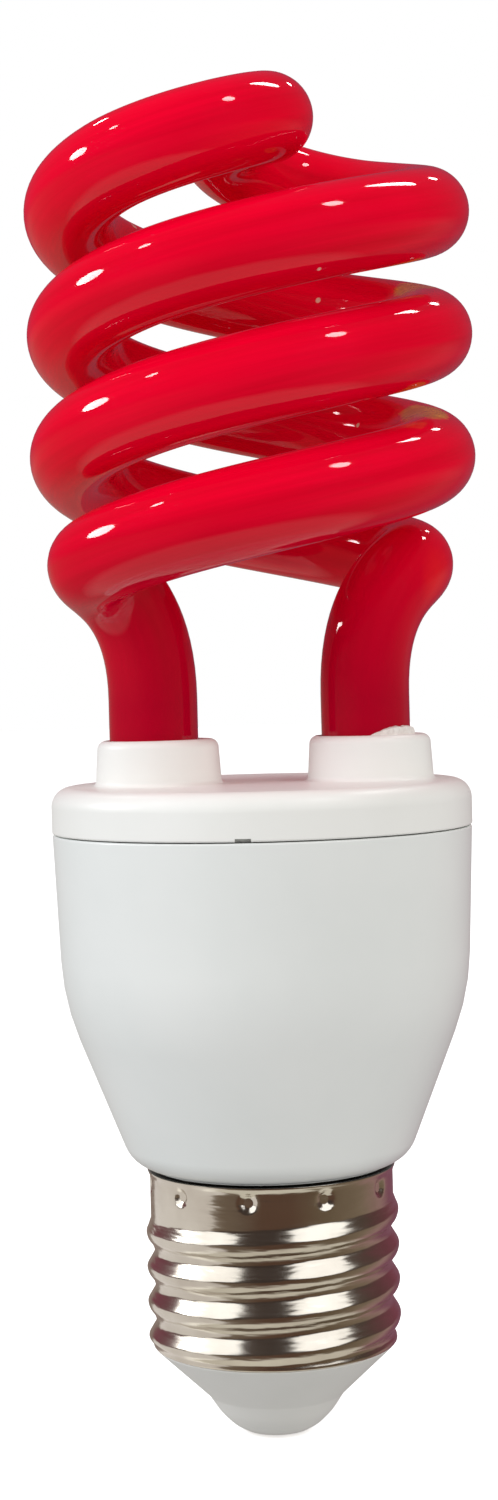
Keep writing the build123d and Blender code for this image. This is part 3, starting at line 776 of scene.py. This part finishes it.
def shell_radius(angle, height):
    """The outer radius of the rolled sheet: a foot curled to the insulator, a round thread that runs
    out at the top, and a plain skirt with crimps and a lip."""
    turns = (height - CREST_LEFT_Z) / THREAD_PITCH - (angle - math.pi) / (2 * math.pi)
    crest = math.floor(turns + 0.5)
    from_crest = turns - crest
    around = angle / (2 * math.pi)
    here = thread_strength(crest + around)
    above = thread_strength(crest + 1 + around)
    valleys = [SHELL_SKIRT_R + (THREAD_ROOT_R - SHELL_SKIRT_R) * strength for strength in (here, above)]
    blend = smooth_step(from_crest, -0.5, 0.5)
    valley = valleys[0] * (1 - blend) + valleys[1] * blend
    radius = valley + (THREAD_CREST_R - valley) * here * (0.5 + 0.5 * math.cos(2 * math.pi * from_crest))
    radius += ROLL_RIDGE * here * math.sin(2 * math.pi * RIDGES_PER_TURN * from_crest)
    to_foot = 1 - smooth_step(height - SHELL_FOOT, *FOOT_FLARE)
    radius += (FOOT_R - radius) * to_foot
    if height > LIP_FOOT:
        radius += (LIP_R - SHELL_SKIRT_R) * ((height - LIP_FOOT) / (LEDGE_Z - LIP_FOOT)) ** 1.5
    for number in range(CRIMP_COUNT):
        away = (angle - CRIMP_ANGLE - 2 * math.pi * number / CRIMP_COUNT + math.pi) % (2 * math.pi) - math.pi
        distance = math.hypot(away * SHELL_SKIRT_R, height - CRIMP_Z)
        if distance < CRIMP_R:
            radius -= CRIMP_DEPTH * smooth_step(CRIMP_R - distance, 0.0, 0.8 * CRIMP_R)
    return radius


def screw_shell():
    """The rolled sheet, and the narrow ring above its lip that lies in the gap under the housing."""
    bm = bmesh.new()
    low, high = SHELL_FOOT + ENDS_HEIGHT, LEDGE_Z - ENDS_HEIGHT
    outline = [(SHELL_FOOT + rise, -pull) for rise, pull in SHEET_ENDS]
    outline += [(low + (high - low) * row / (SHELL_ROWS - 1), 0.0) for row in range(SHELL_ROWS)]
    outline += [(LEDGE_Z - rise, -pull) for rise, pull in reversed(SHEET_ENDS)]
    rings, inner = [], []
    for height, pull in outline:
        loop, inner_loop = [], []
        for column in range(SHELL_COLUMNS):
            angle = 2 * math.pi * column / SHELL_COLUMNS
            radius = shell_radius(angle, height) + pull
            loop.append(bm.verts.new((radius * math.cos(angle), radius * math.sin(angle), height)))
            round_neck = height > NECK_FOOT - ENDS_HEIGHT
            radius = max(NECK_R + NECK_PLAY if round_neck else 0.0, radius - SHEET)
            inner_loop.append(bm.verts.new((radius * math.cos(angle), radius * math.sin(angle), height)))
        rings.append(loop)
        inner.append(inner_loop)
    collar = [
        ring(bm, radius, height, columns=SHELL_COLUMNS)
        for radius, height in (
            (LEDGE_R, LEDGE_Z + LEDGE_EDGE),
            (LEDGE_R, SHELL_TOP - LEDGE_EDGE),
            (LEDGE_R - LEDGE_EDGE, SHELL_TOP),
            (NECK_R + NECK_PLAY, SHELL_TOP),
        )
    ]
    skin(bm, rings + collar + inner[::-1], closed=True)
    return finish_piece(
        "rolled_screw_shell", bm, nickel(), ["screw_shell"], sharp=math.radians(50)
    )


# Insulator

def insulator():
    """The foot of the base: a stepped nose under the shell, a plug inside it, and a hub that holds the
    contact's eyelet."""
    bm = bmesh.new()
    turned(
        bm,
        rounded([
            (CONTACT_R, CONTACT_THICK),
            *reversed(NOSE),
            (SHELL_EDGE_R, SHELL_FOOT, SHELL_EDGE),
            (SHELL_BORE, SHELL_FOOT),
            (SHELL_BORE, PLUG_TOP),
            (HUB_R, PLUG_TOP),
            (HUB_R, HUB_TOP),
            (EYELET_R, HUB_TOP),
            (EYELET_R, CONTACT_THICK),
        ]),
    )
    # urea resin, pressed: pale grey and nearly matt
    plastic = moulded_plastic("pale_urea_resin", "#EBEAE6", "#E2E1DC", 0.55)
    return finish_piece("moulded_insulator", bm, plastic, ["base_insulator"])


# Camera, floor and light

# The camera's place, roll and lens, and the point of the photo that it faces squarely
CAMERA_Y = -270 * MM
CAMERA_Z = 80.2 * MM
CAMERA_ROLL = math.radians(-1.49)
SENSOR = 36.0
LENS = 61.88
PHOTO_SIZE = (498, 1500)
AIM_PIXEL = (258.0, 662.43)
# The floor's paper: half its side, and how bright it is by itself
FLOOR_REACH = 3.0
PAPER_GLOW = 0.62


def camera():
    """A level camera, rolled as the photo is, its lens shifted to frame the bulb as the photo does."""
    data = bpy.data.cameras.new("camera")
    data.sensor_width = SENSOR
    data.lens = LENS
    data.shift_x = (PHOTO_SIZE[0] / 2 - AIM_PIXEL[0]) / PHOTO_SIZE[1]
    data.shift_y = (AIM_PIXEL[1] - PHOTO_SIZE[1] / 2) / PHOTO_SIZE[1]
    data.clip_start = 0.01
    seat = bpy.data.objects.new("camera", data)
    turn = Matrix.Rotation(math.pi / 2, 4, "X") @ Matrix.Rotation(CAMERA_ROLL, 4, "Z")
    seat.matrix_world = Matrix.Translation((0, CAMERA_Y, CAMERA_Z)) @ turn
    bpy.context.scene.collection.objects.link(seat)
    bpy.context.scene.camera = seat


def floor():
    """A wide sheet of paper under the bulb, which the bulb neither mirrors nor takes light from."""
    bm = bmesh.new()
    bmesh.ops.create_grid(bm, x_segments=8, y_segments=8, size=FLOOR_REACH)
    mesh = bpy.data.meshes.new("studio_floor")
    bm.to_mesh(mesh)
    bm.free()
    material, tree = new_material("pale_paper")
    shader = add(tree, "ShaderNodeBsdfPrincipled", {
        "Base Color": srgb("#F2F2F2"), "Roughness": 0.9, "Specular IOR Level": 0.0,
        "Emission Color": srgb("#FFFFFF"), "Emission Strength": PAPER_GLOW,
    })
    add(tree, "ShaderNodeOutputMaterial", {"Surface": shader})
    mesh.materials.append(material)
    sheet = bpy.data.objects.new("studio_floor", mesh)
    bpy.context.scene.collection.objects.link(sheet)
    sheet.visible_diffuse = False
    sheet.visible_glossy = False


MIDDLE = Vector((0, 0, 80 * MM))


def lamp(name, towards, distance, size, radiance, glossy, colour="#FFFFFF", shape="RECTANGLE", only=None):
    """A flat light that faces the bulb, either for its soft light or for its reflection alone, on
    every piece or on one only."""
    data = bpy.data.lights.new(name, "AREA")
    data.shape = shape
    data.size, data.size_y = size
    data.energy = radiance * math.pi * size[0] * size[1] * (math.pi / 4 if shape == "ELLIPSE" else 1.0)
    data.color = srgb(colour)[:3]
    piece = bpy.data.objects.new(name, data)
    piece.location = MIDDLE + Vector(towards).normalized() * distance
    piece.rotation_euler = (MIDDLE - piece.location).to_track_quat("-Z", "Y").to_euler()
    piece.visible_camera = False
    piece.visible_glossy = glossy
    piece.visible_diffuse = not glossy
    if only:
        lit = bpy.data.collections.new(name)
        lit.objects.link(only)
        piece.light_linking.receiver_collection = lit
    bpy.context.scene.collection.objects.link(piece)


# Soft lights: direction, the light that they give to a white surface facing them, colour
SOFT_LIGHTS = (
    ("key", (-0.85, -0.25, 0.45), 0.58, "#F8FBFF"),
    ("fill", (0.6, -0.65, 0.45), 0.36, "#FFFCF6"),
)
SOFT_SIZE = 0.7
SOFT_DISTANCE = 1.0

# Windows and lamps of the room that show as highlights: direction, width and height in degrees, radiance
HIGHLIGHTS = (
    ("big_left", (-0.929, 0.049, 0.367), (17, 13), 22.0),
    ("small_left", (-0.46, 0.51, 0.73), (5, 5), 22.0),
    ("small_front_left", (-0.66, -0.13, 0.73), (5, 5), 22.0),
    ("dash", (0.42, -0.35, 0.84), (8, 11), 18.0),
    ("long_dash", (0.42, 0.36, 0.83), (7, 18), 18.0),
    ("small_right", (0.38, 0.68, 0.61), (4, 4), 12.0),
)

# Bright walls of the room, which only the nickel mirrors clearly: direction, width and height in
# degrees, radiance, shape
WALLS = (
    ("left_wall", (-0.966, -0.259, 0.58), (66, 54), 1.45, "ELLIPSE"),
    ("left_low_wall", (-0.98, 0.2, -0.54), (88, 54), 0.6, "RECTANGLE"),
    ("right_wall", (0.714, -0.7, 0.58), (56, 54), 1.45, "ELLIPSE"),
)


def span_at_one_metre(degrees):
    """The width and height of what spans the given angles at a distance of one metre."""
    return tuple(2 * math.tan(math.radians(angle) / 2) for angle in degrees)


def lights(shell):
    """Soft lights for the shading, highlights for the gloss, and the walls that the nickel mirrors."""
    for name, towards, strength, colour in SOFT_LIGHTS:
        radiance = strength * math.pi * SOFT_DISTANCE**2 / SOFT_SIZE**2
        lamp(name, towards, SOFT_DISTANCE, (SOFT_SIZE, SOFT_SIZE), radiance, glossy=False, colour=colour)
    for name, towards, degrees, radiance in HIGHLIGHTS:
        lamp(name, towards, 1.0, span_at_one_metre(degrees), radiance, glossy=True, shape="ELLIPSE")
    for name, towards, degrees, radiance, shape in WALLS:
        size = span_at_one_metre(degrees)
        lamp(name, towards, 1.0, size, radiance, glossy=True, shape=shape, only=shell)


# What the bulb mirrors, by azimuth from behind over the left to the front (0.5) and over the right to
# behind again: the room low down and higher up, and the paper underneath
LOW_ROOM = (
    (0.0, "#6E625C"), (0.06, "#6A5E58"), (0.12, "#5A4E46"), (0.34, "#5A4E42"), (0.42, "#4E4238"),
    (0.47, "#443228"), (0.55, "#443228"), (0.64, "#4E4234"), (0.76, "#5F5346"), (0.84, "#755C5A"),
    (0.9, "#5E3A46"), (1.0, "#5E404A"),
)
HIGH_ROOM = (
    (0.0, "#65303E"), (0.1, "#5A303A"), (0.25, "#3A302A"), (0.5, "#2E2622"), (0.75, "#3A302A"),
    (0.9, "#5A303A"), (1.0, "#65303E"),
)

PAPER = "#A29D93"
# Heights of a unit direction between which the high room takes over, and low down the paper
HIGH_FROM = (-0.05, 0.1)
PAPER_FROM = (-0.68, -0.78)
ROOM_STRENGTH = 2.0
# Diffuse light from all round, and how it leans to the left and up
SOFT_LEVEL = 0.56
SOFT_LEAN = (-0.04, 0.0, 0.08)


def surroundings():
    """White to the camera, a soft gradient for diffuse light, and a dim room for reflections."""
    bpy.context.scene.view_settings.view_transform = "Standard"
    world = bpy.data.worlds.new("studio")
    bpy.context.scene.world = world
    world.use_nodes = True
    world.cycles.sampling_method = "NONE"
    tree = world.node_tree
    tree.nodes.clear()
    direction = add(tree, "ShaderNodeTexCoord").outputs["Generated"]
    parts = add(tree, "ShaderNodeSeparateXYZ", {0: direction}).outputs
    forwards = add(tree, "ShaderNodeMath", {0: parts[1], 1: -1.0}, operation="MULTIPLY")
    turn = add(tree, "ShaderNodeMath", {0: parts[0], 1: forwards}, operation="ARCTAN2")
    azimuth = add(tree, "ShaderNodeMapRange", {"Value": turn, "From Min": -math.pi, "From Max": math.pi})
    room = add(tree, "ShaderNodeValToRGB", {0: azimuth}, stops=LOW_ROOM)
    high = add(tree, "ShaderNodeValToRGB", {0: azimuth}, stops=HIGH_ROOM)
    for (start, end), layer in ((HIGH_FROM, high), (PAPER_FROM, srgb(PAPER))):
        reach = add(tree, "ShaderNodeMapRange", {"Value": parts[2], "From Min": start, "From Max": end})
        room = add(tree, "ShaderNodeMix", {"Factor": reach, FIRST: room, SECOND: layer}, data_type="RGBA")
    mirrored = add(tree, "ShaderNodeBackground", {"Color": room, "Strength": ROOM_STRENGTH})
    lean = add(tree, "ShaderNodeVectorMath", {0: direction, 1: SOFT_LEAN}, operation="DOT_PRODUCT")
    level = add(tree, "ShaderNodeMath", {0: lean, 1: SOFT_LEVEL}, operation="ADD")
    soft = add(tree, "ShaderNodeBackground", {"Color": srgb("#FFFFFF"), "Strength": level})
    seen = add(tree, "ShaderNodeBackground", {"Color": srgb("#FFFFFF"), "Strength": 1.0})
    rays = add(tree, "ShaderNodeLightPath").outputs
    lit = add(tree, "ShaderNodeMixShader", {0: rays["Is Glossy Ray"], 1: soft, 2: mirrored})
    both = add(tree, "ShaderNodeMixShader", {0: rays["Is Camera Ray"], 1: lit, 2: seen})
    add(tree, "ShaderNodeOutputWorld", {"Surface": both})


# Basing cement, hardened: chalky off white with a fine grit
basing_cement = speckled("basing_cement", "#F3EDE9", "#E6DDD8", 0.35, 0.75)

spiral_tube()
holder()
cement("cement_left", "tube_cement_left", -LEG_X, False, basing_cement)
cement("cement_right", "tube_cement_right", LEG_X, True, basing_cement)
housing()
shell = screw_shell()
insulator()
finish_solids()
camera()
floor()
surroundings()
lights(shell)
